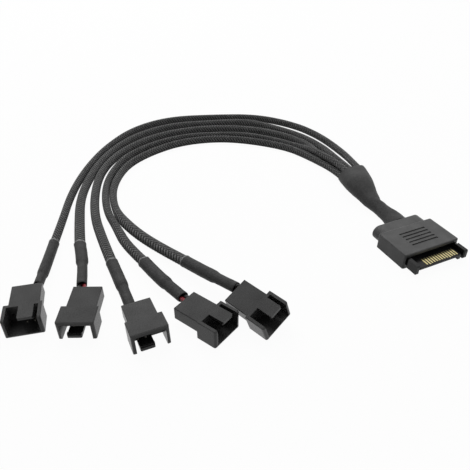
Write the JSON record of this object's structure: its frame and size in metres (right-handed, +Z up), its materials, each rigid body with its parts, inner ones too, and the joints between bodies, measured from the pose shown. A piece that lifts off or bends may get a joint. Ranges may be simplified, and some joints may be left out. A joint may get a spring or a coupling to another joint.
{
  "type": "fan splitter cable",
  "caption": "Power splitter cable for computer fans: a flat moulded plug feeds braided branches through a heat-shrink junction, and each branch ends in a keyed male fan header.",
  "frame": {"origin": "middle of the plug hood's flat underside, on the surface the cable lies on", "axes": "+Z up from that surface, -Y the way the power plug's blade points, +X to the plug's right seen from behind it, with the branches curving round on the -X side"},
  "size_m": [0.181, 0.1852, 0.0113],
  "materials": {
    "hood_plastic": "fine matte moulded",
    "insert_plastic": "satin moulded",
    "gilded_contacts": "gilded",
    "heat_shrink": "smooth matte polyolefin",
    "braid": "fine diagonal braid",
    "black_insulation": "soft gloss",
    "red_insulation": "soft gloss",
    "housing_plastic": "matte moulded",
    "terminal_metal": "plated"
  },
  "bodies": {
    "root": {"power_plug_hood": "hood_plastic", "power_plug_insert": "insert_plastic", "power_contacts": "gilded_contacts", "junction_heat_shrink": "heat_shrink", "branch_sleeve_1": "braid", "end_heat_shrink_1": "heat_shrink", "black_wire_1": "black_insulation", "red_wire_1": "red_insulation", "fan_housing_1": "housing_plastic", "fan_terminals_1": "terminal_metal", "branch_sleeve_2": "braid", "end_heat_shrink_2": "heat_shrink", "black_wire_2": "black_insulation", "red_wire_2": "red_insulation", "fan_housing_2": "housing_plastic", "fan_terminals_2": "terminal_metal", "branch_sleeve_3": "braid", "end_heat_shrink_3": "heat_shrink", "black_wire_3": "black_insulation", "red_wire_3": "red_insulation", "fan_housing_3": "housing_plastic", "fan_terminals_3": "terminal_metal", "branch_sleeve_4": "braid", "end_heat_shrink_4": "heat_shrink", "black_wire_4": "black_insulation", "red_wire_4": "red_insulation", "fan_housing_4": "housing_plastic", "fan_terminals_4": "terminal_metal", "branch_sleeve_5": "braid", "end_heat_shrink_5": "heat_shrink", "black_wire_5": "black_insulation", "red_wire_5": "red_insulation", "fan_housing_5": "housing_plastic", "fan_terminals_5": "terminal_metal"}
  },
  "joints": []
}
